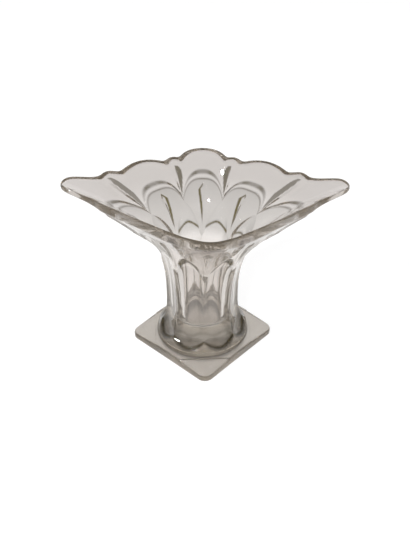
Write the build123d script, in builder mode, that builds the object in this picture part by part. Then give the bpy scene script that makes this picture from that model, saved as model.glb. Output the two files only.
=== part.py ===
from build123d import *

import math
import os

# Clear pressed-glass fan vase: a square foot, a joining wafer and a fluted body with a fan mouth.
# Millimetres, +Z up, X along the wings, origin at the middle of the underside.

# Square foot, its corners on the X and Y axes
FOOT_SIDE = 80.0
FOOT_THICKNESS = 7.0
FOOT_CORNER_RADIUS = 7.0
FOOT_TOP_EDGE_RADIUS = 1.6
FOOT_BOTTOM_EDGE_RADIUS = 0.8
CORNER_LINE = 36.4
CORNER_STEP = 0.6
CORNER_SLOPE = 0.1

# Joining wafer, a plain round disc
WAFER_RADIUS = 36.0
WAFER_THICKNESS = 5.0
WAFER_EDGE_RADIUS = 1.8

# Fluted body below the mouth; every rise is measured up from the body's underside
COLLAR_RADIUS = 34.0
WAIST_RADIUS = 28.2
WAIST_RISE = 28.0
COVE_POWER = 2.6

# Fan mouth; the two rises are where the outer surface reaches the rim
MOUTH_HALF_WIDTH = 101.0
MOUTH_HALF_DEPTH = 64.5
TIP_RISE = 120.0
SIDE_RISE = 114.5
TIP_FLARE_POWER = 3.0
SIDE_FLARE_POWER = 2.65
ROUND_UP_TO_RISE = 48.0
MOUTH_SECTION_POWER = 1.19
MOUTH_LEAN = 1.85
LEAN_RUN = 60.0

# Glass thickness and the floor of the hollow
WAIST_WALL = 9.0
RIM_WALL = 5.5
HOLLOW_FLOOR_RISE = 10.0
HOLLOW_FLOOR_RADIUS = 7.0

# Two tiers of flutes; the rises are where their outlines begin, meet and arch over
FLUTE_COUNT = 8
CUSP_RISE = 4.3
MEETING_RISE = 69.0
LOWER_ARCH_RISE = 83.0
SPEAR_RISE = 93.0
UPPER_ARCH_RISE = 104.0

# Lobes of the rim; notches are shares of the straight run from wing tip to front
TONGUE_NOTCH = 0.26
LOBE_START = 0.40
LOBE_END = 0.72
FRONT_NOTCH = 0.85
LOBE_BULGE = 5.0
OUTER_BUMP_BULGE = 3.0
INNER_BUMP_BULGE = 2.0
TONGUE_HALF_WIDTH = 10.6
TONGUE_END = 13.8
RIM_LEAN = 0.4
RIM_OVERSHOOT = 9.0

# Angles where the smooth surfaces close, clear of every rib and notch
OUTER_SEAM = 5.0
INNER_SEAM = 10.0
RING_STEP = 15.0

BODY_BASE = FOOT_THICKNESS + WAFER_THICKNESS
PITCH = 360.0 / FLUTE_COUNT
TOP_RISE = TIP_RISE + RIM_OVERSHOOT


def flare(rise, mouth, mouth_rise, power):
    """Outer radius at a rise: a cove below the waist, a power curve from waist to mouth."""
    if rise < WAIST_RISE:
        share = (WAIST_RISE - rise) / WAIST_RISE
        return WAIST_RADIUS + (COLLAR_RADIUS - WAIST_RADIUS) * share**COVE_POWER
    share = (rise - WAIST_RISE) / (mouth_rise - WAIST_RISE)
    return WAIST_RADIUS + (mouth - WAIST_RADIUS) * share**power


def wall_across(rise, mouth, mouth_rise, power):
    """Level thickness of the wall at a rise, from the thickness square to its slope."""
    share = max(0.0, (rise - WAIST_RISE) / (mouth_rise - WAIST_RISE))
    thickness = WAIST_WALL + (RIM_WALL - WAIST_WALL) * min(1.0, share)
    slope = power * (mouth - WAIST_RADIUS) / (mouth_rise - WAIST_RISE) * share ** (power - 1)
    return thickness * math.hypot(1.0, slope)


def section_radius(angle, half_width, half_depth, rise):
    """Radius at an angle in a level section that goes from round to a soft diamond."""
    share = (rise - ROUND_UP_TO_RISE) / (SIDE_RISE - ROUND_UP_TO_RISE)
    power = 2.0 - (2.0 - MOUTH_SECTION_POWER) * min(1.0, max(0.0, share))
    across = abs(math.cos(math.radians(angle))) / half_width
    deep = abs(math.sin(math.radians(angle))) / half_depth
    return (across**power + deep**power) ** (-1.0 / power)


def outer_point(angle, rise, ratio=1.0):
    """Point of the plain outer surface, its radius times a ratio."""
    half_width = flare(rise, MOUTH_HALF_WIDTH, TIP_RISE, TIP_FLARE_POWER)
    half_depth = flare(rise, MOUTH_HALF_DEPTH, SIDE_RISE, SIDE_FLARE_POWER)
    radius = section_radius(angle, half_width, half_depth, rise) * ratio
    return (radius * math.cos(math.radians(angle)), radius * math.sin(math.radians(angle)))


def inner_point(angle, rise):
    """Point of the smooth hollow, the outer surface less the wall."""
    width = (MOUTH_HALF_WIDTH, TIP_RISE, TIP_FLARE_POWER)
    depth = (MOUTH_HALF_DEPTH, SIDE_RISE, SIDE_FLARE_POWER)
    level = max(rise, WAIST_RISE)
    half_width = flare(level, *width) - wall_across(level, *width)
    half_depth = flare(level, *depth) - wall_across(level, *depth)
    radius = section_radius(angle, half_width, half_depth, level)
    return (radius * math.cos(math.radians(angle)), radius * math.sin(math.radians(angle)))


def level_at(rise):
    """Plane of a section at a rise; above the waist it leans by degrees towards +X."""
    share = min(1.0, max(0.0, (rise - WAIST_RISE) / LEAN_RUN))
    lean = math.radians(MOUTH_LEAN) * share * share * (3.0 - 2.0 * share)
    shift = math.sin(lean) * (rise - WAIST_RISE)
    return Plane(
        origin=(shift, 0, BODY_BASE + rise),
        x_dir=(math.cos(lean), 0, -math.sin(lean)),
        z_dir=(math.sin(lean), 0, math.cos(lean)),
    )


def spread(first, last, count):
    """Evenly spaced values from first to last."""
    return [first + (last - first) * step / (count - 1) for step in range(count)]


def ring(start):
    """Angles evenly round a section from a start angle."""
    return spread(start, start + 360.0 - RING_STEP, round(360.0 / RING_STEP))


def rim_size(rise):
    """Half width and half depth of the rim outline at a rise, smaller the higher it is."""
    return (MOUTH_HALF_WIDTH - RIM_LEAN * (rise - TIP_RISE), MOUTH_HALF_DEPTH - RIM_LEAN * (rise - SIDE_RISE))


def rim_point(size, share, bulge, side, front):
    """Point on the straight run from a wing tip to the front or back, pushed out square to it by a bulge."""
    width, depth = size
    length = math.hypot(width, depth)
    x = width * (1.0 - share) + bulge * depth / length
    y = depth * share + bulge * width / length
    return (side * x, front * y)


# Lower flutes: rise, then radius of the ribs and of the flute floors as ratios of the plain surface
COLUMN_SPAN = MEETING_RISE - WAIST_RISE
LOWER_FLUTES = [
    (0.0, 1.06, 1.005),
    (CUSP_RISE, 0.99, 0.955),
    (WAIST_RISE * 0.45, 0.95, 0.875),
    (WAIST_RISE, 0.95, 0.86),
    (WAIST_RISE + COLUMN_SPAN * 0.4, 0.95, 0.86),
    (WAIST_RISE + COLUMN_SPAN * 0.75, 0.95, 0.865),
    (MEETING_RISE, 0.957, 0.885),
    ((MEETING_RISE + LOWER_ARCH_RISE) / 2, 1.0, 0.925),
    (LOWER_ARCH_RISE, 1.1, 1.0),
    (LOWER_ARCH_RISE + 7.0, 1.2, 1.1),
    (LOWER_ARCH_RISE + 15.0, 1.28, 1.18),
    (LOWER_ARCH_RISE + 25.0, 1.3, 1.2),
    (LOWER_ARCH_RISE + 35.0, 1.3, 1.2),
    (TOP_RISE, 1.3, 1.2),
]

# Upper flutes, in the same terms
UPPER_FLUTES = [
    (0.0, 1.1, 1.05),
    (WAIST_RISE / 2, 1.1, 1.05),
    (WAIST_RISE, 1.1, 1.05),
    (WAIST_RISE + COLUMN_SPAN * 0.34, 1.1, 1.04),
    (WAIST_RISE + COLUMN_SPAN * 0.63, 1.06, 1.01),
    (WAIST_RISE + COLUMN_SPAN * 0.83, 1.03, 0.975),
    (MEETING_RISE, 1.0, 0.957),
    (LOWER_ARCH_RISE - 3.0, 0.99, 0.95),
    ((LOWER_ARCH_RISE + SPEAR_RISE) / 2, 0.99, 0.945),
    (SPEAR_RISE, 1.0, 0.945),
    ((SPEAR_RISE + UPPER_ARCH_RISE) / 2, 1.06, 0.965),
    (UPPER_ARCH_RISE, 1.12, 1.0),
    (UPPER_ARCH_RISE + 8.0, 1.2, 1.1),
    (UPPER_ARCH_RISE + 16.0, 1.25, 1.15),
    (TOP_RISE, 1.25, 1.15),
]

os.makedirs("parts", exist_ok=True)

# Square foot
with BuildPart() as square_foot:
    with BuildSketch():
        Rectangle(FOOT_SIDE, FOOT_SIDE, rotation=45)
        fillet(vertices(), FOOT_CORNER_RADIUS)
    extrude(amount=FOOT_THICKNESS)
    fillet(faces().sort_by(Axis.Z)[-1].edges(), FOOT_TOP_EDGE_RADIUS)
    fillet(faces().sort_by(Axis.Z)[0].edges(), FOOT_BOTTOM_EDGE_RADIUS)

    # Corners that step down at a line square to their axis, then slope away to the tip
    for turn in (0.0, math.pi / 2, math.pi, 3 * math.pi / 2):
        along = Plane(
            origin=(0, 0, 0),
            x_dir=(math.cos(turn), math.sin(turn), 0),
            z_dir=(math.sin(turn), -math.cos(turn), 0),
        )
        with BuildSketch(along):
            with BuildLine():
                Polyline(
                    (CORNER_LINE, FOOT_THICKNESS),
                    (CORNER_LINE + CORNER_STEP, FOOT_THICKNESS - CORNER_STEP),
                    (FOOT_SIDE, FOOT_THICKNESS - CORNER_STEP - CORNER_SLOPE * (FOOT_SIDE - CORNER_LINE)),
                    (FOOT_SIDE, FOOT_THICKNESS),
                    close=True,
                )
            make_face()
        extrude(amount=FOOT_SIDE, both=True, mode=Mode.SUBTRACT)
square_foot.part.label = "square_foot"
export_step(square_foot.part, "parts/square_foot.step")

# Joining wafer
with BuildPart() as joining_wafer:
    with BuildSketch(Plane.XY.offset(FOOT_THICKNESS)):
        Circle(WAFER_RADIUS)
    extrude(amount=WAFER_THICKNESS)
    fillet(edges().filter_by(GeomType.CIRCLE), WAFER_EDGE_RADIUS)
joining_wafer.part.label = "joining_wafer"
export_step(joining_wafer.part, "parts/joining_wafer.step")

# Fluted body with the fan mouth
with BuildPart() as fan_body:
    # Plain outer form
    for rise in spread(0.0, WAIST_RISE, 4)[:-1] + spread(WAIST_RISE, TOP_RISE, 9):
        with BuildSketch(level_at(rise)):
            with BuildLine():
                Spline([outer_point(angle, rise) for angle in ring(OUTER_SEAM)], periodic=True)
            make_face()
    loft()

    # Lobed rim, its cut leaning in as it rises
    for rise in (0.0, TOP_RISE + RIM_OVERSHOOT):
        size = rim_size(rise)
        with BuildSketch(level_at(TIP_RISE).offset(rise - TIP_RISE)):
            with BuildLine():
                for side in (1, -1):
                    tongue = side * (size[0] - TONGUE_END)
                    EllipticalCenterArc(
                        (tongue, 0), TONGUE_END, TONGUE_HALF_WIDTH, start_angle=-90 * side, arc_size=180
                    )
                    ThreePointArc(
                        rim_point(size, FRONT_NOTCH, 0.0, 1, side),
                        (0, side * size[1]),
                        rim_point(size, FRONT_NOTCH, 0.0, -1, side),
                    )
                    for front in (1, -1):
                        notch = rim_point(size, TONGUE_NOTCH, 0.0, side, front)
                        lobe_start = rim_point(size, LOBE_START, 0.0, side, front)
                        lobe_end = rim_point(size, LOBE_END, 0.0, side, front)
                        front_notch = rim_point(size, FRONT_NOTCH, 0.0, side, front)
                        outer_bump = rim_point(
                            size, (TONGUE_NOTCH + LOBE_START) / 2, OUTER_BUMP_BULGE, side, front
                        )
                        lobe = rim_point(size, (LOBE_START + LOBE_END) / 2, LOBE_BULGE, side, front)
                        inner_bump = rim_point(
                            size, (LOBE_END + FRONT_NOTCH) / 2, INNER_BUMP_BULGE, side, front
                        )
                        Line((tongue, front * TONGUE_HALF_WIDTH), notch)
                        ThreePointArc(notch, outer_bump, lobe_start)
                        ThreePointArc(lobe_start, lobe, lobe_end)
                        ThreePointArc(lobe_end, inner_bump, front_notch)
            make_face()
    loft(ruled=True, mode=Mode.INTERSECT)

    # Flutes, the upper tier half a pitch round from the lower
    for stations, turn in ((LOWER_FLUTES, 0.0), (UPPER_FLUTES, PITCH / 2)):
        for rise, rib, floor in stations:
            with BuildSketch(level_at(rise)):
                with BuildLine():
                    for start in [turn + PITCH * flute for flute in range(FLUTE_COUNT)]:
                        ThreePointArc(
                            outer_point(start, rise, rib),
                            outer_point(start + PITCH / 2, rise, floor),
                            outer_point(start + PITCH, rise, rib),
                        )
                make_face()
        loft(mode=Mode.INTERSECT)

    # Smooth hollow with a rounded floor
    for rise in [HOLLOW_FLOOR_RISE] + spread(WAIST_RISE, TOP_RISE + RIM_OVERSHOOT, 10):
        with BuildSketch(level_at(rise)):
            with BuildLine():
                Spline([inner_point(angle, rise) for angle in ring(INNER_SEAM)], periodic=True)
            make_face()
    loft(mode=Mode.SUBTRACT)
    floor_height = BODY_BASE + HOLLOW_FLOOR_RISE
    floor_edge = edges().filter_by_position(Axis.Z, floor_height - 0.01, floor_height + 0.01)
    fillet(floor_edge, HOLLOW_FLOOR_RADIUS)
fan_body.part.label = "fan_body"
export_step(fan_body.part, "parts/fan_body.step")
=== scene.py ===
"""Fan vase of clear pressed glass: a square foot, a joining wafer and a fluted body, drawn as one glass."""

import logging
import math
from collections.abc import Callable
from dataclasses import dataclass, field
from enum import Enum
from typing import Any

import bpy
import numpy as np
from mathutils import Matrix, Vector


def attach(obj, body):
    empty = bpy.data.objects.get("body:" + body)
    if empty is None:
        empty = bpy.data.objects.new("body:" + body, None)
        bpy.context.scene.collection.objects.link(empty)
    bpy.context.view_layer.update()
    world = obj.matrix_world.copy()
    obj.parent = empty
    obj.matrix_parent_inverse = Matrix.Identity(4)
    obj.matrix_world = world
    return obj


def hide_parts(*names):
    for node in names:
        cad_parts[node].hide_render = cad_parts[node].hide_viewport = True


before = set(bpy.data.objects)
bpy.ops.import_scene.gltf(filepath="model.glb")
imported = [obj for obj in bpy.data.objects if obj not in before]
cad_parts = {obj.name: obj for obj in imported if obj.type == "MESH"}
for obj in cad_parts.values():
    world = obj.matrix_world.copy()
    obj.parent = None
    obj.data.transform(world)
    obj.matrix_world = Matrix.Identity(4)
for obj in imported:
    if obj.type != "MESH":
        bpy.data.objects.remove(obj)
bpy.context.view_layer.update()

LOG = logging.getLogger("fan_vase")
MM = 0.001
# Name of the point attribute that holds painted shade along the moulded lines
CREASE = "crease_shade"
SEAM = 0.02  # Millimetres between rings that would else lie on each other
QUARTER = np.linspace(0.0, math.pi / 2, 5)  # Angles along a small rounded edge
Surface = Callable[[np.ndarray, np.ndarray], np.ndarray]


class FluteTier(Enum):
    """The two tiers of flutes, each with the angle in degrees of its first flute's middle."""

    LOWER = 22.5
    UPPER = 0.0


class SeenBy(Enum):
    """Light Path outputs that ask for the white ground instead of the lit one."""

    CAMERA = "Is Camera Ray"
    GLOSSY = "Is Glossy Ray"
    TRANSMISSION = "Is Transmission Ray"


def linear_colour(hex_colour: str) -> tuple[float, float, float, float]:
    """Turns an sRGB hex colour into linear light, channel by channel.

    Args:
        hex_colour: Six hex digits after a hash sign.

    Returns:
        Linear red, green, blue and an alpha of one.
    """
    channels = np.array([int(hex_colour[at : at + 2], 16) for at in (1, 3, 5)]) / 255.0
    linear = np.where(channels <= 0.04045, channels / 12.92, ((channels + 0.055) / 1.055) ** 2.4)
    return (*(float(value) for value in linear), 1.0)


def add_node(
    tree: bpy.types.NodeTree,
    kind: str,
    settings: dict[str, Any] | None = None,
    sockets: dict[Any, Any] | None = None,
) -> bpy.types.Node:
    """Adds one node, sets its properties, and fills or links its inputs.

    Args:
        tree: Node tree that takes the node.
        kind: Blender's type name of the node.
        settings: Properties of the node by name.
        sockets: Values or output sockets by input name or number.

    Returns:
        The new node.
    """
    node = tree.nodes.new(kind)
    for name, value in (settings or {}).items():
        setattr(node, name, value)
    for name, value in (sockets or {}).items():
        if isinstance(value, bpy.types.NodeSocket):
            tree.links.new(value, node.inputs[name])
        else:
            node.inputs[name].default_value = value
    return node


def smooth_step(value: np.ndarray) -> np.ndarray:
    """Eases from 0 to 1 by 3v squared less 2v cubed, flat outside that range."""
    share = np.clip(value, 0.0, 1.0)
    return share * share * (3.0 - 2.0 * share)


def soft_least(first: np.ndarray, second: np.ndarray, softness: float) -> np.ndarray:
    """Smaller of two arrays, rounded where they cross.

    The formula is half the sum less half the root of the squared difference plus softness squared.

    Args:
        first: One array.
        second: The other array.
        softness: How far the rounding reaches, in the arrays' own unit.

    Returns:
        The rounded minimum.
    """
    return 0.5 * (first + second - np.sqrt((first - second) ** 2 + softness**2))


def bell(distance: np.ndarray, width: float) -> np.ndarray:
    """Bell curve: e to the power of minus the square of distance over width."""
    return np.exp(-((distance / width) ** 2))


def quarter_round(share: np.ndarray) -> np.ndarray:
    """Height of a quarter circle: the root of one less the square of one less share."""
    return np.sqrt(1 - (1 - share) ** 2)


def steepness(step: np.ndarray) -> np.ndarray:
    """How steep an eased step is: six times step times one less step, at most one."""
    return np.clip(6 * step * (1 - step), 0.0, 1.0)


def angle_from(angles: np.ndarray, tier: FluteTier, pitch: float) -> np.ndarray:
    """Angle in degrees to the nearest flute middle of a tier, from minus to plus half a pitch."""
    return (np.degrees(angles) - tier.value + pitch / 2) % pitch - pitch / 2


@dataclass
class SquareFoot:
    """Thick square slab whose corners lie on the X and Y axes and slope down, in millimetres."""

    side: float = 80.0
    thickness: float = 7.0
    corner_radius: float = 7.0
    least_corner: float = 0.5
    top_edge_radius: float = 2.0
    bottom_edge_radius: float = 0.8
    facet_line: float = 36.4
    facet_step: float = 0.6
    facet_slope: float = 0.10
    step_width: float = 0.6
    step_room: float = 1.6
    under_shares: tuple[float, ...] = (0.12, 0.4, 0.7, 0.92)
    facet_shares: tuple[float, ...] = (0.66, 0.33)
    fold_shares: tuple[float, ...] = (1.3, 1.0, 0.5, 0.0, -0.3)
    flat_shares: tuple[float, ...] = (0.5, 0.0)

    def outline(self, angles: np.ndarray, inset: float) -> np.ndarray:
        """Polar radius of the rounded square, drawn in by an inset.

        A ray meets the flat side where its longer component reaches half the side; past the start of
        the corner it meets the corner's circle instead.

        Args:
            angles: Angles round Z in radians.
            inset: Distance that the whole outline is drawn in.

        Returns:
            Radius at each angle.
        """
        half = self.side / 2 - inset
        corner = max(self.corner_radius - inset, self.least_corner)
        turned = angles - math.pi / 4
        longer = np.maximum(np.abs(np.cos(turned)), np.abs(np.sin(turned)))
        shorter = np.minimum(np.abs(np.cos(turned)), np.abs(np.sin(turned)))
        centre = half - corner
        flat = half / longer
        reach = centre * (longer + shorter)
        inside = np.maximum(reach**2 - 2 * centre**2 + corner**2, 0.0)
        return np.where(flat * shorter <= centre, flat, reach + np.sqrt(inside))

    def rows(self, angles: np.ndarray, inner_radius: float) -> np.ndarray:
        """Rings from the underside, round both edges and over the top to a circle.

        Past the facet line on either axis the top drops by a small eased step, then falls by the slope
        times the distance past it, and the sides below shrink in proportion.

        Args:
            angles: Angles round Z in radians.
            inner_radius: Radius of the circle where the top ends.

        Returns:
            Array of rings by angles by three coordinates.
        """
        low, high = self.bottom_edge_radius, self.top_edge_radius
        insets = np.concatenate([low * (1 - np.sin(QUARTER)), high * (1 - np.cos(QUARTER))])
        low_heights = low * (1 - np.cos(QUARTER))
        heights = np.concatenate([low_heights, self.thickness - high * (1 - np.sin(QUARTER))])
        edge = np.stack([self.outline(angles, inset) for inset in insets])
        under = np.array(self.under_shares)[:, None] * edge[0]
        longer = np.maximum(np.abs(np.cos(angles)), np.abs(np.sin(angles)))
        crease = np.minimum(self.facet_line / longer, edge[-1] - self.step_room * self.step_width)
        fold = crease + self.step_width * np.array(self.fold_shares)[:, None]
        facet = fold[0] + (edge[-1] - fold[0]) * np.array(self.facet_shares)[:, None]
        flat = inner_radius + (fold[-1] - inner_radius) * np.array(self.flat_shares)[:, None]
        top = np.concatenate([facet, fold, flat])
        radius = np.concatenate([under, edge, top])
        level = np.full(top.shape[0], self.thickness)
        height = np.concatenate([np.zeros(under.shape[0]), heights, level])[:, None]
        past = np.maximum(radius * longer - self.facet_line, 0.0)
        drop = self.facet_step * smooth_step(past / self.step_width) + self.facet_slope * past
        return ring_points(angles, radius, height * (1 - drop / self.thickness))


@dataclass
class JoiningWafer:
    """Round disc of glass that joined body and foot while hot, in millimetres."""

    radius: float = 34.9
    thickness: float = 5.0
    edge_radius: float = 0.5
    pooled_foot: float = 0.8
    covered: float = 1.5
    tuck: float = 0.05

    def rows(self, angles: np.ndarray, base: float, top_radius: np.ndarray) -> np.ndarray:
        """Rings from the foot's top, round the disc's edge, to the collar of the body.

        The edge is a hollow quarter circle where it pooled on the foot, a straight run, and an eighth of a
        circle under the petals, which cover the top of the wafer.

        Args:
            angles: Angles round Z in radians.
            base: Height of the foot's top.
            top_radius: Radius where the body begins, at each angle.

        Returns:
            Array of rings by angles by three coordinates.
        """
        eighth = QUARTER[: QUARTER.size // 2 + 1]
        edge = self.edge_radius
        pool = self.pooled_foot
        low_radius = self.radius + pool * (1 - np.sin(QUARTER))
        low_height = pool * (1 - np.cos(QUARTER)) + SEAM
        high_radius = self.radius - edge * (1 - np.cos(eighth))
        high_height = self.thickness - self.covered - edge * (1 - np.sin(eighth))
        radius = np.tile(np.concatenate([low_radius, high_radius])[:, None], angles.size)
        radius = np.concatenate([radius, top_radius[None, :] - self.tuck])
        height = np.concatenate([low_height, high_height, [self.thickness - self.covered - SEAM]])
        return ring_points(angles, radius, base + height[:, None])


def ring_points(angles: np.ndarray, radius: np.ndarray, height: np.ndarray) -> np.ndarray:
    """Points at polar radius and height: radius times cosine, radius times sine, height."""
    heights = np.broadcast_to(height, radius.shape)
    return np.stack([radius * np.cos(angles), radius * np.sin(angles), heights], axis=-1)


@dataclass
class Relief:
    """Relief of a surface: how far it stands out or is cut in, and how much painted shade its creases take.
    """

    amount: np.ndarray
    shade: np.ndarray


@dataclass
class Rings:
    """Rings of points by their radius and rise."""

    radius: np.ndarray
    rise: np.ndarray


@dataclass
class Shell:
    """Rings of points of a surface, and the painted crease shade at each point."""

    points: np.ndarray
    shade: np.ndarray


@dataclass
class FluteLines:
    """Lines of the lower flutes at each point: the rises of border and toe, and the run of the cove.

    The share is 0 in the middle of a flute and 1 on the rib beside it.
    """

    share: np.ndarray
    border: np.ndarray
    run: np.ndarray
    toe: np.ndarray


@dataclass
class CreaseShade:
    """Painted shade along the moulded lines, where the glass turns light away, as strengths from 0 to 1.

    Lengths are in millimetres, and shares are of half the pitch between flutes.
    """

    front: float = 0.95
    lens_edge: float = 0.6
    lens_depth: float = 9.0
    lens_share: float = 0.72
    lens_fade: float = 0.2
    arm_drop: float = 1.2
    arm_width: float = 1.5
    arm_share: float = 0.6
    arm_fade: float = 0.15
    cove_width: float = 0.85
    wall_rise: float = 62.0
    wall_fade: float = 10.0
    petal: float = 0.9
    petal_lift: float = 1.3
    petal_width: float = 0.7
    rib: float = 0.45
    rib_share: float = 0.4
    rib_fade: float = 0.4
    rib_end: float = 4.0
    collar: float = 0.4
    collar_rise: float = 16.0
    collar_fade: float = 6.0
    border: float = 0.8
    border_gain: float = 0.3
    border_peak: float = 0.35
    border_spread: float = 0.2
    border_fall: float = 0.4
    inner_width: float = 0.6
    inner_fall: float = 0.2
    floor: float = 0.44
    floor_rate: float = 4.0
    lancet: float = 0.5
    lancet_front_fade: float = 0.8
    spear: float = 0.96
    spear_front_fade: float = 0.7
    ridge_blur: float = 0.4
    facet_blur: float = 0.5
    spear_start_rate: float = 8.0
    spear_end_rate: float = 2.0
    tier_blend: float = 0.3


@dataclass
class MouldPattern:
    """Two tiers of flutes with lancets and spears, pressed into the body.

    Lengths are in millimetres, with rises above the body's underside. The spread is in degrees and the
    lancets' turn in radians.
    """

    flute_count: int = 8
    spread_rise: float = 84.0
    spread_double: float = 5.71
    spread_fourfold: float = 2.76
    front_sharpness: float = 0.75
    meeting_rise: float = 68.5
    meeting_softness: float = 0.12
    lower_arch_rise: float = 88.5
    spear_rise: float = 90.5
    upper_arch_rise: float = 105.5
    inner_line_rise: float = 100.6
    inner_line_dip: float = 1.5
    flute_depth: float = 0.14
    rib_gain: float = 0.10
    rib_power: float = 2.6
    arch_power: float = 1.5
    toe_power: float = 1.7
    lower_cove: float = 13.0
    rib_cove: float = 2.0
    cove_roundness: float = 0.7
    collar_cove: float = 9.0
    petal_rise: float = 6.0
    petal_bead: float = 0.4
    bead_width: float = 0.8
    panel_sink: float = 2.8
    panel_start_run: float = 12.0
    panel_side_loss: float = 0.7
    panel_arch_power: float = 2.6
    inner_line_power: float = 3.0
    border_share: float = 0.62
    lancet_foot_rise: float = 70.0
    lancet_widest_rise: float = 94.0
    lancet_top_rise: float = 98.5
    lancet_half_width: float = 4.2
    lancet_flank: float = 2.8
    lancet_height: float = 1.3
    lancet_turn: float = 0.6
    spear_widest_rise: float = 103.0
    spear_half_width: float = 4.0
    spear_least_width: float = 0.01
    spear_height: float = 1.8
    spear_growth: float = 2.0
    spear_overrun: float = 0.9
    spear_fade: float = 4.0
    shade: CreaseShade = field(default_factory=CreaseShade)

    @property
    def pitch(self) -> float:
        """Angle in degrees from one flute to the next."""
        return 360.0 / self.flute_count

    def spread(self, angles: np.ndarray, rise: np.ndarray, mouth_rise: float) -> np.ndarray:
        """Angle in the pattern of flutes, which spreads towards the wings as the mouth opens.

        It is the plain angle plus one wave of the double and one of the fourfold angle, eased in with rise.

        Args:
            angles: Angles round Z in radians.
            rise: Rise of each point.
            mouth_rise: Rise at which the pattern has spread in full.

        Returns:
            Pattern angle of each point in radians.
        """
        eased = smooth_step((rise - self.spread_rise) / (mouth_rise - self.spread_rise))
        waves = self.spread_double * np.sin(2 * angles) + self.spread_fourfold * np.sin(4 * angles)
        return angles + np.radians(waves) * eased

    def ahead(self, pattern: np.ndarray) -> np.ndarray:
        """Eases from 0 on the back of the vase to 1 on its front, with the sine of the pattern angle."""
        return smooth_step(0.5 - self.front_sharpness * np.sin(pattern))

    def flute_lines(self, pattern: np.ndarray, lowest: float) -> FluteLines:
        """Lines of the lower flutes: border, cove and toe follow powers of the share of half a pitch.

        Args:
            pattern: Pattern angle of each point in radians.
            lowest: Rise of the petals' lowest points.

        Returns:
            The lines at each point.
        """
        share = np.abs(angle_from(pattern, FluteTier.LOWER, self.pitch)) / (self.pitch / 2)
        arch = share**self.arch_power
        border = self.lower_arch_rise - (self.lower_arch_rise - self.meeting_rise) * arch
        run = self.lower_cove - (self.lower_cove - self.rib_cove) * arch
        toe = lowest + self.petal_rise * share**self.toe_power
        return FluteLines(share, border, run, toe)

    def lower_flutes(self, lines: FluteLines, rise: np.ndarray, collar_radius: float) -> np.ndarray:
        """Depth of the lower flutes as a share of the plain radius.

        A flute is scooped less by a power of its share, so that ribs stay between. Its upper end is a cove
        between a quarter circle and a slope, and its lower end a quarter circle behind a beaded petal.

        Args:
            lines: Lines of the flutes at each point.
            rise: Rise of each point.
            collar_radius: Radius of the collar, which turns the bead's height into a share.

        Returns:
            Share of the radius that is scooped away.
        """
        scoop = self.flute_depth - self.rib_gain * lines.share**self.rib_power
        cove = np.clip((lines.border - rise) / lines.run, 0.0, 1.0)
        foot = np.clip((rise - lines.toe) / self.collar_cove, 0.0, 1.0)
        upper_end = self.cove_roundness * quarter_round(cove) + (1 - self.cove_roundness) * cove
        bead = self.petal_bead * bell(rise - lines.toe, self.bead_width) / collar_radius
        return scoop * upper_end * quarter_round(foot) - bead

    def flute_shade(self, lines: FluteLines, pattern: np.ndarray, rise: np.ndarray) -> np.ndarray:
        """Painted shade in the lower flutes.

        On the front it fills a lens below the border and follows the border's arms; on the back it lies
        where the cove begins and over the wall. Petals, side ribs and collar have it all round. Lines are
        bell curves and areas end in eased steps.

        Args:
            lines: Lines of the flutes at each point.
            pattern: Pattern angle of each point in radians.
            rise: Rise of each point.

        Returns:
            Shade of each point from 0 to 1.
        """
        shade = self.shade
        below = lines.border - rise
        lens = smooth_step(below / shade.lens_edge) * smooth_step(shade.lens_depth - below)
        lens = lens * smooth_step((shade.lens_share - lines.share) / shade.lens_fade)
        arm = bell(below - shade.arm_drop, shade.arm_width)
        arm = arm * smooth_step((lines.share - shade.arm_share) / shade.arm_fade)
        wall = shade.floor * smooth_step((rise - shade.wall_rise) / shade.wall_fade)
        behind = bell(below - lines.run, shade.cove_width) + wall
        ahead = self.ahead(pattern)
        ends = shade.front * (lens + arm) * ahead + behind * (1 - ahead)
        petal = shade.petal * bell(rise - lines.toe - shade.petal_lift, shade.petal_width)
        ribs = shade.rib * np.abs(np.cos(pattern))
        ribs = ribs * smooth_step((lines.share - shade.rib_share) / shade.rib_fade)
        ribs = ribs * smooth_step(below / shade.rib_end)
        collar = shade.collar * smooth_step((shade.collar_rise - rise) / shade.collar_fade)
        return np.clip(ends + petal + ribs + collar, 0.0, 1.0)

    def upper_panels(self, pattern: np.ndarray, rise: np.ndarray) -> Relief:
        """Depth in millimetres of the upper panels below the plain surface.

        A panel sinks steeply from its arched border, then down a chamfer to an inner line, and is
        shallower at its sides. The painted shade gathers on the steep border and on the inner line, and
        lies lightly on the floor at the back.

        Args:
            pattern: Pattern angle of each point in radians.
            rise: Rise of each point.

        Returns:
            Depth of each point, and painted shade.
        """
        shade = self.shade
        share = np.abs(angle_from(pattern, FluteTier.UPPER, self.pitch) / (self.pitch / 2))
        arch = (self.upper_arch_rise - self.spear_rise) * share**self.panel_arch_power
        border = self.upper_arch_rise - arch
        inner_arch = self.inner_line_rise - self.spear_rise + self.inner_line_dip
        inner = self.inner_line_rise - inner_arch * share**self.inner_line_power
        down = (border - rise) / (border - inner)
        sunk = np.clip(down, 0.0, 1.0)
        steep = smooth_step(down / self.border_share)
        start = smooth_step((rise - self.meeting_rise + self.panel_start_run) / self.panel_start_run)
        depth = self.panel_sink * start * (0.5 * steep + 0.5 * sunk)
        depth = depth * (1 - self.panel_side_loss * share**2)
        blob = shade.border + shade.border_gain * bell(share - shade.border_peak, shade.border_spread)
        edge = steepness(steep) * blob * (1 - shade.border_fall * share)
        line = bell((down - 1.0) * (border - inner), shade.inner_width) * (1 - shade.inner_fall * share)
        floor = shade.floor * smooth_step((down - 1.0) * shade.floor_rate) * (1 - self.ahead(pattern))
        return Relief(depth, np.clip(edge + line + floor, 0.0, 1.0))

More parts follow.
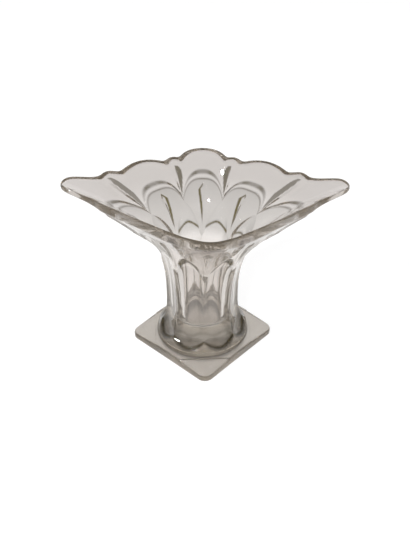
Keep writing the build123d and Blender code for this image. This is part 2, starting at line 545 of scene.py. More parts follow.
    def lancets(self, pattern: np.ndarray, rise: np.ndarray, radius: np.ndarray) -> Relief:
        """Height in millimetres of the lancet in each upper panel.

        A lancet is a flat leaf, widest near its point. The flank that looks towards the front or back is
        the steeper one and takes the painted shade, most of it on the back of the vase.

        Args:
            pattern: Pattern angle of each point in radians.
            rise: Rise of each point.
            radius: Plain radius of each point.

        Returns:
            Height of each point, and painted shade.
        """
        turn = np.radians(angle_from(pattern, FluteTier.UPPER, self.pitch))
        side = np.abs(turn) * radius
        growing = (rise - self.lancet_foot_rise) / (self.lancet_widest_rise - self.lancet_foot_rise)
        closing = (self.lancet_top_rise - rise) / (self.lancet_top_rise - self.lancet_widest_rise)
        half = self.lancet_half_width * np.clip(np.minimum(growing, closing), 0.0, 1.0)
        towards = np.sign(turn) * np.sin(2 * (pattern - turn) - self.lancet_turn)
        away = np.clip(-towards, 0.0, 1.0)
        step = smooth_step((half - side) / (self.lancet_flank * (1 + away)))
        edge = steepness(step) * np.clip(self.shade.lancet + towards, 0.0, 1.0)
        fade = 1 - self.shade.lancet_front_fade * self.ahead(pattern)
        return Relief(self.lancet_height * step, edge * fade)

    def spears(
        self, pattern: np.ndarray, rise: np.ndarray, radius: np.ndarray, to_rim: np.ndarray
    ) -> Relief:
        """Height in millimetres of the spears between the upper panels.

        A spear is a low roof that widens from its point and rounds off by a quarter circle at the rim: its
        height falls evenly from the ridge to the half width. The facet that looks towards the front or back
        takes the painted shade, most of it on the back of the vase.

        Args:
            pattern: Pattern angle of each point in radians.
            rise: Rise of each point.
            radius: Plain radius of each point.
            to_rim: Rise left from each point to the rim.

        Returns:
            Height of each point, and painted shade.
        """
        shade = self.shade
        turn = np.radians(angle_from(pattern, FluteTier.LOWER, self.pitch))
        side = turn * radius * np.sign(np.sin(2 * (pattern - turn)))
        opened = np.clip((rise - self.spear_rise) / (self.spear_widest_rise - self.spear_rise), 0.0, 1.0)
        closing = quarter_round(np.clip((to_rim + self.spear_overrun) / self.spear_fade, 0.0, 1.0))
        half = np.maximum(self.spear_half_width * opened * closing, self.spear_least_width)
        roof = np.clip(1 - np.abs(side) / half, 0.0, 1.0)
        tall = np.clip(opened * self.spear_growth, 0.0, 1.0) * smooth_step(to_rim / self.spear_fade)
        facet = smooth_step(side / shade.ridge_blur + 0.5)
        facet = facet * smooth_step((half - side) / shade.facet_blur + 0.5)
        ends = np.clip(opened * shade.spear_start_rate, 0.0, 1.0)
        ends = ends * np.clip(closing * shade.spear_end_rate, 0.0, 1.0)
        fade = 1 - shade.spear_front_fade * self.ahead(pattern)
        return Relief(self.spear_height * tall * roof, shade.spear * facet * ends * fade)


@dataclass
class FanBody:
    """Fluted column that flares to a lobed, diamond-shaped mouth.

    Lengths are in millimetres, with rises above its own underside, and lean and blur are in degrees.
    """

    collar_radius: float = 34.0
    waist_radius: float = 28.2
    waist_rise: float = 28.0
    cove_power: float = 2.6
    mouth_half_width: float = 101.9
    mouth_half_depth: float = 64.5
    tip_rise: float = 120.0
    side_rise: float = 114.5
    tip_flare_power: float = 3.0
    side_flare_power: float = 2.65
    round_up_to_rise: float = 48.0
    mouth_section_power: float = 1.15
    front_softness: float = 0.12
    wing_softness: float = 0.02
    mouth_lean: float = 1.85
    lean_run: float = 60.0
    waist_wall: float = 9.0
    rim_wall: float = 5.5
    floor_rise: float = 10.0
    floor_radius: float = 7.0
    floor_shares: tuple[float, ...] = (0.75, 0.45, 0.15)
    tongue_notch: float = 0.26
    lobe_start: float = 0.40
    lobe_end: float = 0.72
    front_notch: float = 0.825
    lobe_bulge: float = 5.0
    outer_bump_bulge: float = 3.0
    inner_bump_bulge: float = 2.0
    tongue_half_width: float = 10.6
    tongue_end: float = 13.8
    arc_steps: int = 60
    bow_steps: int = 80
    rim_lean: float = 0.4
    rim_rounding: float = 1.1
    rim_undercut: float = 2.3
    rim_fullness: float = 0.28
    rim_search: tuple[float, float, int] = (88.0, 136.0, 481)
    notch_blur: float = 1.6
    blur_steps: int = 5
    tip_lift: float = 2.4
    tip_lift_rise: float = 92.0
    tip_lift_run: float = 22.0
    tip_cosine: float = 0.965
    tip_cosine_run: float = 0.03
    ring_rises: tuple[float, float, float] = (10.0, 62.0, 84.0)
    ring_counts: tuple[int, int, int, int] = (19, 10, 27, 57)
    nose_count: int = 11
    hollow_count: int = 28
    curl_count: int = 7
    mould: MouldPattern = field(default_factory=MouldPattern)

    def flare(self, rise: np.ndarray, mouth: float, mouth_rise: float, power: float) -> np.ndarray:
        """Outer half size: a cove of power cove_power below the waist, a power curve above it."""
        below = np.clip((self.waist_rise - rise) / self.waist_rise, 0.0, None)
        above = np.clip((rise - self.waist_rise) / (mouth_rise - self.waist_rise), 0.0, None)
        cove = (self.collar_radius - self.waist_radius) * below**self.cove_power
        return self.waist_radius + cove + (mouth - self.waist_radius) * above**power

    def wall_across(self, rise: np.ndarray, mouth: float, mouth_rise: float, power: float) -> np.ndarray:
        """Level thickness of the wall: its square thickness times the root of one plus slope squared."""
        share = np.clip((rise - self.waist_rise) / (mouth_rise - self.waist_rise), 0.0, None)
        thickness = self.waist_wall + (self.rim_wall - self.waist_wall) * np.minimum(1.0, share)
        run = mouth_rise - self.waist_rise
        slope = power * (mouth - self.waist_radius) / run * share ** (power - 1)
        return thickness * np.hypot(1.0, slope)

    @staticmethod
    def rounded(value: np.ndarray, softness: float) -> np.ndarray:
        """Size of a sine or cosine, rounded near zero and still one at one."""
        return (np.sqrt(value**2 + softness**2) - softness) / (math.hypot(1.0, softness) - softness)

    def section(
        self, angles: np.ndarray, half_width: np.ndarray, half_depth: np.ndarray, rise: np.ndarray
    ) -> np.ndarray:
        """Polar radius of a level section that goes from an ellipse to a soft diamond.

        The section is where the sum of x over half width and y over half depth, each to a power, is one;
        the power falls from 2 to mouth_section_power on the way up. Sine and cosine near zero are rounded
        off, as the root of their square plus a softness squared less that softness, so that no corner is
        sharp.

        Args:
            angles: Angles round Z in radians.
            half_width: Reach along X.
            half_depth: Reach along Y.
            rise: Rise of each point.

        Returns:
            Radius of each point.
        """
        share = (rise - self.round_up_to_rise) / (self.side_rise - self.round_up_to_rise)
        power = 2.0 - (2.0 - self.mouth_section_power) * np.clip(share, 0.0, 1.0)
        across = self.rounded(np.cos(angles), self.front_softness) / half_width
        deep = self.rounded(np.sin(angles), self.wing_softness) / half_depth
        return (across**power + deep**power) ** (-1.0 / power)

    def plain_radius(self, angles: np.ndarray, rise: np.ndarray) -> np.ndarray:
        """Radius of the outer surface before it is fluted."""
        width = self.flare(rise, self.mouth_half_width, self.tip_rise, self.tip_flare_power)
        depth = self.flare(rise, self.mouth_half_depth, self.side_rise, self.side_flare_power)
        return self.section(angles, width, depth, rise)

    def inner_radius(self, angles: np.ndarray, rise: np.ndarray) -> np.ndarray:
        """Radius of the smooth hollow: each half size of the outer surface less the wall."""
        level = np.maximum(rise, self.waist_rise)
        tip = (self.mouth_half_width, self.tip_rise, self.tip_flare_power)
        side = (self.mouth_half_depth, self.side_rise, self.side_flare_power)
        width = self.flare(level, *tip) - self.wall_across(level, *tip)
        depth = self.flare(level, *side) - self.wall_across(level, *side)
        return self.section(angles, width, depth, level)

    def rim_outline(self, angles: np.ndarray, rise: float) -> np.ndarray:
        """Polar radius of the lobed rim outline at a rise.

        A quarter of it runs from the wing tip to the front: a quarter ellipse for the tongue, a straight
        run to the notch, three bows pushed out by four times bulge times t times one less t, and a
        circular arc over the front.

        Args:
            angles: Angles round Z in radians.
            rise: Rise of the outline, which draws in as it rises.

        Returns:
            Radius at each angle.
        """
        width = self.mouth_half_width - self.rim_lean * (rise - self.tip_rise)
        depth = self.mouth_half_depth - self.rim_lean * (rise - self.side_rise)
        length = math.hypot(width, depth)
        turn = np.linspace(0.0, math.pi / 2, self.arc_steps)
        tongue_x = width - self.tongue_end + self.tongue_end * np.cos(turn)
        tongue_y = self.tongue_half_width * np.sin(turn)
        bows = (
            (self.tongue_notch, self.lobe_start, self.outer_bump_bulge),
            (self.lobe_start, self.lobe_end, self.lobe_bulge),
            (self.lobe_end, self.front_notch, self.inner_bump_bulge),
        )
        step = np.linspace(0.0, 1.0, self.bow_steps)
        shares = np.concatenate([first + (last - first) * step for first, last, _ in bows])
        bulges = np.concatenate([4 * bulge * step * (1 - step) for _, _, bulge in bows])
        bow_x = width * (1 - shares) + bulges * depth / length
        bow_y = depth * shares + bulges * width / length
        start_x = width * (1 - self.front_notch)
        drop = depth * (1 - self.front_notch)
        arc_radius = (start_x**2 + drop**2) / (2 * drop)
        swing = np.linspace(math.asin(start_x / arc_radius), 0.0, self.arc_steps)
        arc_x = arc_radius * np.sin(swing)
        arc_y = depth - arc_radius * (1 - np.cos(swing))
        x = np.concatenate([tongue_x, bow_x, arc_x])
        y = np.concatenate([tongue_y, bow_y, arc_y])
        folded = np.arctan2(np.abs(np.sin(angles)), np.abs(np.cos(angles)))
        return np.interp(folded, np.arctan2(y, x), np.hypot(x, y))

    def rim_rise(self, surface: Surface, angles: np.ndarray, draw_in: float) -> np.ndarray:
        """Rise at which a surface meets the rim outline, drawn in by a distance.

        Both are tabled against rise; the meeting is where their difference first turns positive. The
        outline is the mean over a small swing of angle, which softens its notches.

        Args:
            surface: Radius of the surface as a function of angle and rise.
            angles: Angles round Z in radians.
            draw_in: Level distance that the rim outline is drawn in.

        Returns:
            Rise at each angle.
        """
        rises = np.linspace(*self.rim_search)
        low, high = rises[0], rises[-1]
        share = ((rises - low) / (high - low))[:, None]
        swing = np.radians(np.linspace(-self.notch_blur, self.notch_blur, self.blur_steps))
        low_rim = np.mean([self.rim_outline(angles + turn, low) for turn in swing], axis=0)
        high_rim = np.mean([self.rim_outline(angles + turn, high) for turn in swing], axis=0)
        outline = low_rim + (high_rim - low_rim) * share - draw_in
        over = surface(angles[None, :], rises[:, None]) - outline
        last = np.clip(np.argmax(over > 0, axis=0), 1, rises.size - 1)
        column = np.arange(angles.size)
        before, after = over[last - 1, column], over[last, column]
        return rises[last - 1] + (rises[1] - rises[0]) * before / (before - after)

    def leaned(self, angles: np.ndarray, rings: Rings, base: float) -> np.ndarray:
        """Points of the body, its upper levels tipped towards +X.

        Each level turns about Y by a lean that eases in above the waist, and shifts with its height.

        Args:
            angles: Angles round Z in radians.
            rings: Radius of each point in its level, and rise of each level.
            base: Height of the body's underside.

        Returns:
            Array of points with three coordinates.
        """
        above = rings.rise - self.waist_rise
        lean = math.radians(self.mouth_lean) * smooth_step(above / self.lean_run)
        along = rings.radius * np.cos(angles)
        x = np.sin(lean) * above + np.cos(lean) * along
        y = rings.radius * np.sin(angles)
        z = base + rings.rise - np.sin(lean) * along
        return np.stack([x, y, z], axis=-1)

    def outer_rises(self, angles: np.ndarray, lowest: float, end: np.ndarray) -> np.ndarray:
        """Rises of the outer rings: level ones up to the arches, then in even shares of the way to the rim.

        Args:
            angles: Angles round Z in radians.
            lowest: Rise at which the petals begin.
            end: Rise at which the outer surface ends, at each angle.

        Returns:
            Array of rings by angles.
        """
        collar_top, column_top, arch_top = self.ring_rises
        collar_count, column_count, arch_count, climb_count = self.ring_counts
        steady = np.concatenate(
            [
                np.linspace(lowest, collar_top, collar_count),
                np.linspace(collar_top, column_top, column_count)[1:],
                np.linspace(column_top, arch_top, arch_count)[1:],
            ]
        )
        lower = np.broadcast_to(steady[:, None], (steady.size, angles.size))
        climb = np.linspace(0.0, 1.0, climb_count)[1:, None]
        return np.concatenate([lower, arch_top + (end - arch_top) * climb])

    def outer_rings(self, angles: np.ndarray, lowest: float) -> tuple[Rings, np.ndarray]:
        """Rings up the outer surface, and their painted shade.

        The radius is the smaller of the fluted and the panelled one, plus lancets and spears. The rings
        near the wing tips are lifted by an eased step of the cosine and of the rise.

        Args:
            angles: Angles round Z in radians.
            lowest: Rise at which the petals begin.

        Returns:
            The rings, and the painted shade of each point.
        """
        mould = self.mould
        end = self.rim_rise(self.plain_radius, angles, self.rim_rounding + self.rim_undercut)
        rise = self.outer_rises(angles, lowest, end)
        plain = self.plain_radius(angles, rise)
        pattern = mould.spread(angles, rise, self.tip_rise)
        lines = mould.flute_lines(pattern, lowest)
        panels = mould.upper_panels(pattern, rise)
        lancets = mould.lancets(pattern, rise, plain)
        spears = mould.spears(pattern, rise, plain, end - rise)
        scooped = plain * (1 - mould.lower_flutes(lines, rise, self.collar_radius))
        sunk = plain - panels.amount
        radius = soft_least(scooped, sunk, mould.meeting_softness) + lancets.amount + spears.amount
        in_flute = smooth_step((sunk - scooped) / mould.shade.tier_blend)
        shade = in_flute * mould.flute_shade(lines, pattern, rise) + (1 - in_flute) * panels.shade
        shade = np.clip(shade + lancets.shade + spears.shade, 0.0, 1.0)
        at_tip = smooth_step((np.abs(np.cos(angles)) - self.tip_cosine) / self.tip_cosine_run)
        lift = self.tip_lift * at_tip * smooth_step((rise - self.tip_lift_rise) / self.tip_lift_run)
        return Rings(radius, rise + lift), shade

    def hollow_rings(self, angles: np.ndarray) -> Rings:
        """Rings from the rim down the smooth hollow, round a quarter circle and in over the floor.

        Args:
            angles: Angles round Z in radians.

        Returns:
            The rings.
        """
        rim = self.rim_rise(self.inner_radius, angles, self.rim_rounding)
        fillet_rise = self.floor_rise + self.floor_radius
        fall = np.linspace(0.0, 1.0, self.hollow_count)[:, None]
        wall_rise = rim + (fillet_rise - rim) * fall
        wall_radius = self.inner_radius(angles, wall_rise)
        curl = np.linspace(0.0, math.pi / 2, self.curl_count)[1:, None]
        curl_radius = wall_radius[-1] - self.floor_radius * (1 - np.cos(curl))
        curl_rise = np.broadcast_to(fillet_rise - self.floor_radius * np.sin(curl), curl_radius.shape)
        flat_radius = curl_radius[-1] * np.array(self.floor_shares)[:, None]
        flat_rise = np.full_like(flat_radius, self.floor_rise)
        radius = np.concatenate([wall_radius, curl_radius, flat_radius])
        return Rings(radius, np.concatenate([wall_rise, curl_rise, flat_rise]))

    def nose_rings(self, angles: np.ndarray, outer: Rings, hollow: Rings) -> Rings:
        """Rings over the rim: a cubic curve that leaves both surfaces along their slopes.

        Each of its two handles is as long as rim_fullness times the distance between its ends.

        Args:
            angles: Angles round Z in radians.
            outer: Rings up the outer surface.
            hollow: Rings down the hollow.

        Returns:
            The rings between the two.
        """
        out_radius, out_rise = outer.radius[-1], outer.rise[-1]
        in_radius, in_rise = hollow.radius[0], hollow.rise[0]
        out_slope = (out_radius - outer.radius[-3]) / (out_rise - outer.rise[-3])
        in_slope = in_radius - self.inner_radius(angles, in_rise - 1.0)
        reach = self.rim_fullness * np.hypot(in_radius - out_radius, in_rise - out_rise)
        out_reach = reach / np.hypot(1.0, out_slope)
        in_reach = reach / np.hypot(1.0, in_slope)
        radii = (out_radius, out_radius + out_reach * out_slope, in_radius + in_reach * in_slope, in_radius)
        rises = (out_rise, out_rise + out_reach, in_rise + in_reach, in_rise)
        step = np.linspace(0.0, 1.0, self.nose_count)[1:-1, None]
        weights = ((1 - step) ** 3, 3 * step * (1 - step) ** 2, 3 * step**2 * (1 - step), step**3)
        radius = sum(weight * value for weight, value in zip(weights, radii))
        return Rings(radius, sum(weight * value for weight, value in zip(weights, rises)))

    def rows(self, angles: np.ndarray, base: float, lowest: float) -> Shell:
        """Rings up the outer surface, over the rim, and down the hollow to its floor.

        Args:
            angles: Angles round Z in radians.
            base: Height of the body's underside.
            lowest: Rise at which the petals begin, below the underside where they cover the wafer.

        Returns:
            Array of rings by angles by three coordinates, and the painted shade of each point.
        """
        outer, outer_shade = self.outer_rings(angles, lowest)
        hollow = self.hollow_rings(angles)
        parts = (outer, self.nose_rings(angles, outer, hollow), hollow)
        radius = np.concatenate([part.radius for part in parts])
        rise = np.concatenate([part.rise for part in parts])
        shade = np.zeros_like(radius)
        shade[: outer_shade.shape[0]] = outer_shade
        return Shell(self.leaned(angles, Rings(radius, rise), base), shade)


@dataclass(frozen=True)
class PressedGlass:
    """Soda-lime glass pressed in a mould and fire-polished.

    It gives the eye bright clear walls that darken to warm olive where the glass is seen edge on, with
    painted shade in dark olive along its moulded lines.
    """

    name: str = "pressed_soda_lime_glass"
    foot_tint: str = "#BDB7B0"
    column_tint: str = "#E9E5E2"
    bowl_tint: str = "#D0CBC8"
    # Colour of the painted shade along the moulded lines
    painted_shade_colour: str = "#2E260A"
    tint_heights: tuple[float, ...] = (8.0, 24.0, 98.0, 120.0)
    tint_drift: float = 14.0
    ior: float = 1.51
    polish: float = 0.015
    worn: float = 0.22
    worn_height: float = 1.2
    absorb_colour: str = "#B5A070"
    absorb_per_metre: float = 8.5
    ripple_spacing: float = 9.0
    ripple_height: float = 0.05
    streak_spacing: float = 30.0

    def make(self) -> bpy.types.Material:
        """Makes the glass: clear rippled surface, tinted by height, with painted crease shade, colouring with
        depth.

        Returns:
            The glass material.
        """
        material = bpy.data.materials.new(self.name)
        material.use_nodes = True
        tree = material.node_tree
        tree.nodes.clear()
        place = add_node(tree, "ShaderNodeTexCoord").outputs["Object"]
        height = add_node(tree, "ShaderNodeSeparateXYZ", sockets={0: place}).outputs["Z"]
        streaks = add_node(
            tree,
            "ShaderNodeTexNoise",
            sockets={"Vector": place, "Scale": 1 / (self.streak_spacing * MM), "Detail": 2.0},
        )
        drift = add_node(
            tree,
            "ShaderNodeMath",
            {"operation": "MULTIPLY_ADD"},
            {0: streaks.outputs["Fac"], 1: self.tint_drift * MM, 2: -self.tint_drift * MM / 2},
        )
        drifted = add_node(tree, "ShaderNodeMath", sockets={0: height, 1: drift.outputs[0]}).outputs[0]
        tint = linear_colour(self.foot_tint)
        steps = ((self.column_tint, self.tint_heights[:2]), (self.bowl_tint, self.tint_heights[2:]))
        for next_tint, (low, high) in steps:
            share = add_node(
                tree, "ShaderNodeMapRange", sockets={"Value": drifted, 1: low * MM, 2: high * MM}
            )
            tint = add_node(
                tree,
                "ShaderNodeMix",
                {"data_type": "RGBA"},
                {0: share.outputs["Result"], 6: tint, 7: linear_colour(next_tint)},
            ).outputs[2]
        # Painted shade: the crease attribute mixes the tint towards dark olive along the moulded lines
        crease = add_node(tree, "ShaderNodeAttribute", {"attribute_name": CREASE}).outputs["Fac"]
        tint = add_node(
            tree,
            "ShaderNodeMix",
            {"data_type": "RGBA"},
            {0: crease, 6: tint, 7: linear_colour(self.painted_shade_colour)},
        ).outputs[2]
        ripples = add_node(
            tree,
            "ShaderNodeTexNoise",
            sockets={"Vector": place, "Scale": 1 / (self.ripple_spacing * MM), "Detail": 1.0},
        )
        bump = add_node(
            tree,
            "ShaderNodeBump",
            sockets={"Strength": 1.0, "Distance": self.ripple_height * MM, "Height": ripples.outputs["Fac"]},
        )
        wear = add_node(
            tree,
            "ShaderNodeMapRange",
            {"interpolation_type": "SMOOTHSTEP"},
            {"Value": height, 1: 0.0, 2: self.worn_height * MM, 3: self.worn, 4: self.polish},
        )
        surface = add_node(
            tree,
            "ShaderNodeBsdfPrincipled",
            sockets={
                "Base Color": tint,
                "Roughness": wear.outputs["Result"],
                "IOR": self.ior,
                "Transmission Weight": 1.0,
                "Normal": bump.outputs["Normal"],
            },
        )
        depth = add_node(
            tree,
            "ShaderNodeVolumeAbsorption",
            sockets={"Color": linear_colour(self.absorb_colour), "Density": self.absorb_per_metre},
        )
        add_node(
            tree,
            "ShaderNodeOutputMaterial",
            sockets={"Surface": surface.outputs[0], "Volume": depth.outputs[0]},
        )
        return material


@dataclass(frozen=True)
class PaleGround:
    """Matt white sheet under the vase, which reads as plain white paper and keeps a soft shadow and a painted
    one.
    """

    name: str = "matt_white_sheet"
    colour: str = "#FFFFFF"
    own_light: float = 0.9
    far_light: float = 0.4
    shadow_share: float = 0.2
    white_radius: float = 1.0
    faded_radius: float = 1.7
    shadow_ring_light: float = 0.36
    shadow_bore_light: float = 0.8
    shadow_ring_radii: tuple[float, ...] = (0.014, 0.024, 0.031, 0.037)

    def make(self) -> bpy.types.Material:
        """Makes the sheet: lit white, and near white of its own where it is seen straight or through glass.

        Its own light fades far to the sides and ahead, and dips in a painted shadow: a ring below the thick
        glass, and less under the bore.

        Returns:
            The sheet's material.
        """
        material = bpy.data.materials.new(self.name)
        material.use_nodes = True
        tree = material.node_tree
        tree.nodes.clear()
        path = add_node(tree, "ShaderNodeLightPath")
        seen = path.outputs[SeenBy.CAMERA.value]
        for kind in (SeenBy.GLOSSY, SeenBy.TRANSMISSION):
            seen = add_node(
                tree, "ShaderNodeMath", {"operation": "MAXIMUM"}, {0: seen, 1: path.outputs[kind.value]}
            ).outputs[0]
        white = linear_colour(self.colour)
        place = add_node(tree, "ShaderNodeTexCoord").outputs["Object"]
        split = add_node(tree, "ShaderNodeSeparateXYZ", sockets={0: place})
        ahead = add_node(
            tree, "ShaderNodeMath", {"operation": "MINIMUM"}, {0: split.outputs["Y"], 1: 0.0}
        ).outputs[0]
        level = add_node(tree, "ShaderNodeCombineXYZ", sockets={0: split.outputs["X"], 1: ahead}).outputs[0]
        away = add_node(tree, "ShaderNodeVectorMath", {"operation": "LENGTH"}, {0: level}).outputs["Value"]
        fading = add_node(
            tree,
            "ShaderNodeMapRange",
            {"interpolation_type": "SMOOTHSTEP"},
            {"Value": away, 1: self.white_radius, 2: self.faded_radius, 3: self.own_light, 4: self.far_light},
        )
        near = add_node(tree, "ShaderNodeVectorMath", {"operation": "LENGTH"}, {0: place}).outputs["Value"]
        # Painted shadow: the sheet's own light dips a little under the bore and more in a ring below the
        # thick wall
        bore_end, ring_start, ring_end, open_start = self.shadow_ring_radii
        strength = fading.outputs["Result"]
        shares = (
            (bore_end, ring_start, self.shadow_bore_light, self.shadow_ring_light),
            (ring_end, open_start, 1.0, 1.0 / self.shadow_ring_light),
        )
        for first, last, inner_share, outer_share in shares:
            share = add_node(
                tree,
                "ShaderNodeMapRange",
                {"interpolation_type": "SMOOTHSTEP"},
                {"Value": near, 1: first, 2: last, 3: inner_share, 4: outer_share},
            )
            strength = add_node(
                tree, "ShaderNodeMath", {"operation": "MULTIPLY"}, {0: strength, 1: share.outputs["Result"]}
            ).outputs[0]
        lit = add_node(tree, "ShaderNodeBsdfDiffuse", sockets={"Color": white})
        dim = add_node(
            tree, "ShaderNodeBsdfDiffuse", sockets={"Color": (*(self.shadow_share,) * 3, 1.0)}
        )
        glow = add_node(tree, "ShaderNodeEmission", sockets={"Color": white, "Strength": strength})
        both = add_node(tree, "ShaderNodeAddShader", sockets={0: dim.outputs[0], 1: glow.outputs[0]})
        mixed = add_node(
            tree, "ShaderNodeMixShader", sockets={0: seen, 1: lit.outputs[0], 2: both.outputs[0]}
        )
        add_node(tree, "ShaderNodeOutputMaterial", sockets={"Surface": mixed.outputs[0]})
        return material


@dataclass
class GlassVase:
    """The whole vase: foot, wafer and body run together into one closed glass surface."""

    foot: SquareFoot = field(default_factory=SquareFoot)
    wafer: JoiningWafer = field(default_factory=JoiningWafer)
    body: FanBody = field(default_factory=FanBody)
    glass: PressedGlass = field(default_factory=PressedGlass)
    wafer_gap: float = 0.1
    sector_counts: tuple[int, ...] = (44, 30, 28, 28)
    sector_samples: int = 400

    def angles(self) -> np.ndarray:
        """Angles round the vase, closer together where the rim runs furthest for its angle.

        Each sector of a quarter turn is cut into equal steps of the mean of its angle and its rim length,
        then the quarter is mirrored and the half repeated.

        Returns:
            Angles in radians over the full turn.
        """
        corners = np.linspace(0.0, math.pi / 2, len(self.sector_counts) + 1)
        parts = []
        for first, last, count in zip(corners[:-1], corners[1:], self.sector_counts):
            fine = np.linspace(first, last, self.sector_samples)
            rim = self.body.rim_outline(fine, self.body.tip_rise)
            steps = np.hypot(np.diff(rim * np.cos(fine)), np.diff(rim * np.sin(fine)))
            run = np.concatenate([[0.0], np.cumsum(steps)])
            measure = 0.5 * run / run[-1] + 0.5 * (fine - first) / (last - first)
            parts.append(np.interp(np.linspace(0.0, 1.0, count + 1)[:-1], measure, fine))
        quarter = np.concatenate(parts)
        mirrored = math.pi - np.concatenate([quarter[1:], [math.pi / 2]])[::-1]
        half = np.concatenate([quarter, mirrored])
        return np.concatenate([half, half + math.pi])

    def build(self) -> bpy.types.Object:
        """Joins the rings of the three pieces into one mesh with a pole at each end.

        Neighbouring rings are bridged by quads and each pole by a fan of triangles, all facing outwards.

        Returns:
            The vase as a Blender object at the origin.
        """
        angles = self.angles()
        base = self.foot.thickness + self.wafer.thickness
        wafer_reach = self.wafer.radius + self.wafer.pooled_foot
        foot_rings = self.foot.rows(angles, wafer_reach + self.wafer_gap)
        body = self.body.rows(angles, base, -self.wafer.covered)
        start = np.hypot(body.points[0, :, 0], body.points[0, :, 1])
        wafer_rings = self.wafer.rows(angles, self.foot.thickness, start)
        rings = np.concatenate([foot_rings, wafer_rings, body.points])
        count, around = rings.shape[:2]
        shade = np.zeros(count * around + 2, dtype=np.float32)
        first_body = (count - body.shade.shape[0]) * around
        first_wafer = first_body - wafer_rings.shape[0] * around
        # The wafer takes the collar's painted shade
        shade[first_wafer:first_body] = self.body.mould.shade.collar
        shade[first_body : count * around] = body.shade.ravel()
        first_pole = np.array([[0.0, 0.0, 0.0]])
        last_pole = np.array([[0.0, 0.0, base + self.body.floor_rise]])
        points = np.concatenate([rings.reshape(-1, 3), first_pole, last_pole]) * MM
        grid = np.arange(count * around).reshape(count, around)
        beside = np.roll(grid, -1, axis=1)
        quads = np.stack([grid[:-1], beside[:-1], beside[1:], grid[1:]], axis=-1).reshape(-1, 4)
        low = np.full(around, count * around)
        under = np.stack([low, beside[0], grid[0]], axis=-1)
        floor = np.stack([low + 1, grid[-1], beside[-1]], axis=-1)
        mesh = bpy.data.meshes.new("fan_vase_glass")
        mesh.from_pydata(points.tolist(), [], quads.tolist() + under.tolist() + floor.tolist())
        mesh.polygons.foreach_set("use_smooth", np.ones(len(mesh.polygons), dtype=bool))
        mesh.attributes.new(CREASE, "FLOAT", "POINT").data.foreach_set("value", shade)
        mesh.update()
        piece = bpy.data.objects.new("fan_vase_glass", mesh)
        bpy.context.scene.collection.objects.link(piece)
        return piece

    def dress(self, piece: bpy.types.Object) -> None:
        """Gives the piece its glass and its body, and hides the CAD nodes that it stands for."""
        piece.data.materials.append(self.glass.make())
        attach(piece, "root")
        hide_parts("fan_body", "joining_wafer", "square_foot")


@dataclass
class Lamp:
    """One soft square lamp, in metres and watts."""

    name: str
    place: tuple[float, float, float]
    size: float
    power: float

    def build(self, target: Vector) -> None:
        """Hangs the lamp facing a target."""
        light = bpy.data.lights.new(self.name, "AREA")
        light.size = self.size
        light.energy = self.power
        lamp = bpy.data.objects.new(self.name, light)
        lamp.location = self.place
        lamp.rotation_euler = (target - Vector(self.place)).to_track_quat("-Z", "Y").to_euler()
        bpy.context.scene.collection.objects.link(lamp)


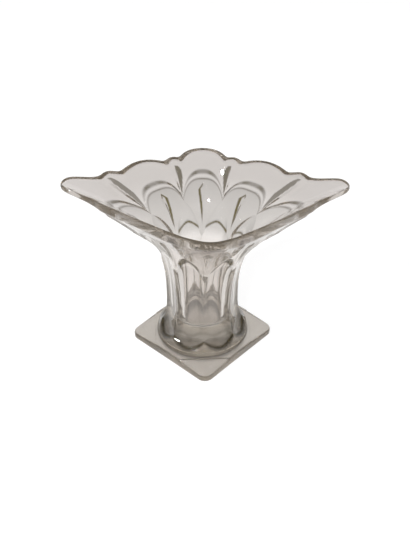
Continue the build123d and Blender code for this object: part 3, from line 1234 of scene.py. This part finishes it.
@dataclass
class Studio:
    """Pale floor, soft light and the camera at the photograph's angle.

    Lengths are in metres and angles in degrees.
    """

    ground: PaleGround = field(default_factory=PaleGround)
    ground_half: float = 6.0
    ground_gap: float = 0.0003
    sweep_start: float = 1.2
    sweep_radius: float = 0.6
    sweep_top: float = 2.5
    pitch: float = 37.5
    turn: float = 2.45
    aim: tuple[float, float, float] = (0.00206, 0.0, 0.0595)
    distance: float = 0.561
    focal_pixels: float = 750.0
    frame_pixels: float = 547.0
    sensor: float = 36.0
    light_bounces: int = 32
    sky_heights: tuple[float, float] = (0.1, 0.6)
    sky_light: tuple[float, float] = (0.45, 0.4)
    lamps: tuple[Lamp, ...] = (
        Lamp("key_lamp", (-0.55, -0.35, 0.75), 0.04, 6.0),
        Lamp("front_lamp", (-0.113, -0.467, 0.42), 0.03, 1.2),
    )

    def build_ground(self) -> bpy.types.Object:
        """Lays the sheet just below the foot and sweeps it up behind the vase.

        Its profile is level, then a quarter circle, then upright.

        Returns:
            The sheet as a Blender object.
        """
        half, bend = self.ground_half, self.sweep_radius
        turn = np.linspace(0.0, math.pi / 2, 13)
        along = np.concatenate([[-half], self.sweep_start + bend * np.sin(turn), [self.sweep_start + bend]])
        height = np.concatenate([[0.0], bend * (1 - np.cos(turn)), [self.sweep_top]]) - self.ground_gap
        left = np.stack([np.full_like(along, -half), along, height], axis=-1)
        right = left * np.array([-1.0, 1.0, 1.0])
        first = np.arange(along.size - 1)
        faces = np.stack([first, first + along.size, first + along.size + 1, first + 1], axis=-1)
        mesh = bpy.data.meshes.new("floor")
        mesh.from_pydata(np.concatenate([left, right]).tolist(), [], faces.tolist())
        mesh.polygons.foreach_set("use_smooth", np.ones(len(mesh.polygons), dtype=bool))
        mesh.materials.append(self.ground.make())
        floor = bpy.data.objects.new("floor", mesh)
        bpy.context.scene.collection.objects.link(floor)
        return floor

    def build_light(self) -> None:
        """Hangs the lamps and sets a world that is pale round the sides and greyer overhead."""
        for lamp in self.lamps:
            lamp.build(Vector(self.aim))
        world = bpy.data.worlds.new("studio")
        world.use_nodes = True
        tree = world.node_tree
        tree.nodes.clear()
        way = add_node(tree, "ShaderNodeTexCoord").outputs["Generated"]
        height = add_node(tree, "ShaderNodeSeparateXYZ", sockets={0: way}).outputs["Z"]
        low, high = self.sky_heights
        side, top = self.sky_light
        shade = add_node(
            tree,
            "ShaderNodeMapRange",
            {"interpolation_type": "SMOOTHSTEP"},
            {"Value": height, 1: low, 2: high, 3: side, 4: top},
        )
        back = add_node(tree, "ShaderNodeBackground", sockets={"Strength": shade.outputs["Result"]})
        back.inputs["Color"].default_value = (1.0, 1.0, 1.0, 1.0)
        add_node(tree, "ShaderNodeOutputWorld", sockets={"Surface": back.outputs[0]})
        bpy.context.scene.world = world

    def open_light_paths(self) -> None:
        """Lets light run down the walls by total reflection, which takes more bounces than the default."""
        paths = bpy.context.scene.cycles
        paths.max_bounces = self.light_bounces
        paths.glossy_bounces = self.light_bounces
        paths.transmission_bounces = self.light_bounces

    def build_camera(self) -> None:
        """Sets the camera back from its aim along a pitched line of sight, turned a little round Z."""
        pitch, turn = math.radians(self.pitch), math.radians(self.turn)
        forward = Vector((0.0, math.cos(pitch), -math.sin(pitch)))
        lens = bpy.data.cameras.new("photo_camera")
        lens.sensor_width = self.sensor
        lens.lens = self.sensor * self.focal_pixels / self.frame_pixels
        camera = bpy.data.objects.new("photo_camera", lens)
        camera.location = Matrix.Rotation(-turn, 3, "Z") @ (Vector(self.aim) - forward * self.distance)
        camera.rotation_euler = (math.pi / 2 - pitch, 0.0, -turn)
        bpy.context.scene.collection.objects.link(camera)
        bpy.context.scene.camera = camera


def main() -> None:
    """Builds the vase and its studio in order and reports each piece."""
    logging.basicConfig(level=logging.INFO, format="%(message)s")
    bpy.context.scene.view_settings.view_transform = "Standard"
    vase = GlassVase()
    piece = vase.build()
    vase.dress(piece)
    LOG.info("%s: %d faces, one closed surface", piece.name, len(piece.data.polygons))
    studio = Studio()
    floor = studio.build_ground()
    LOG.info("%s: stage", floor.name)
    studio.build_light()
    studio.open_light_paths()
    studio.build_camera()


if __name__ == "__main__":
    main()
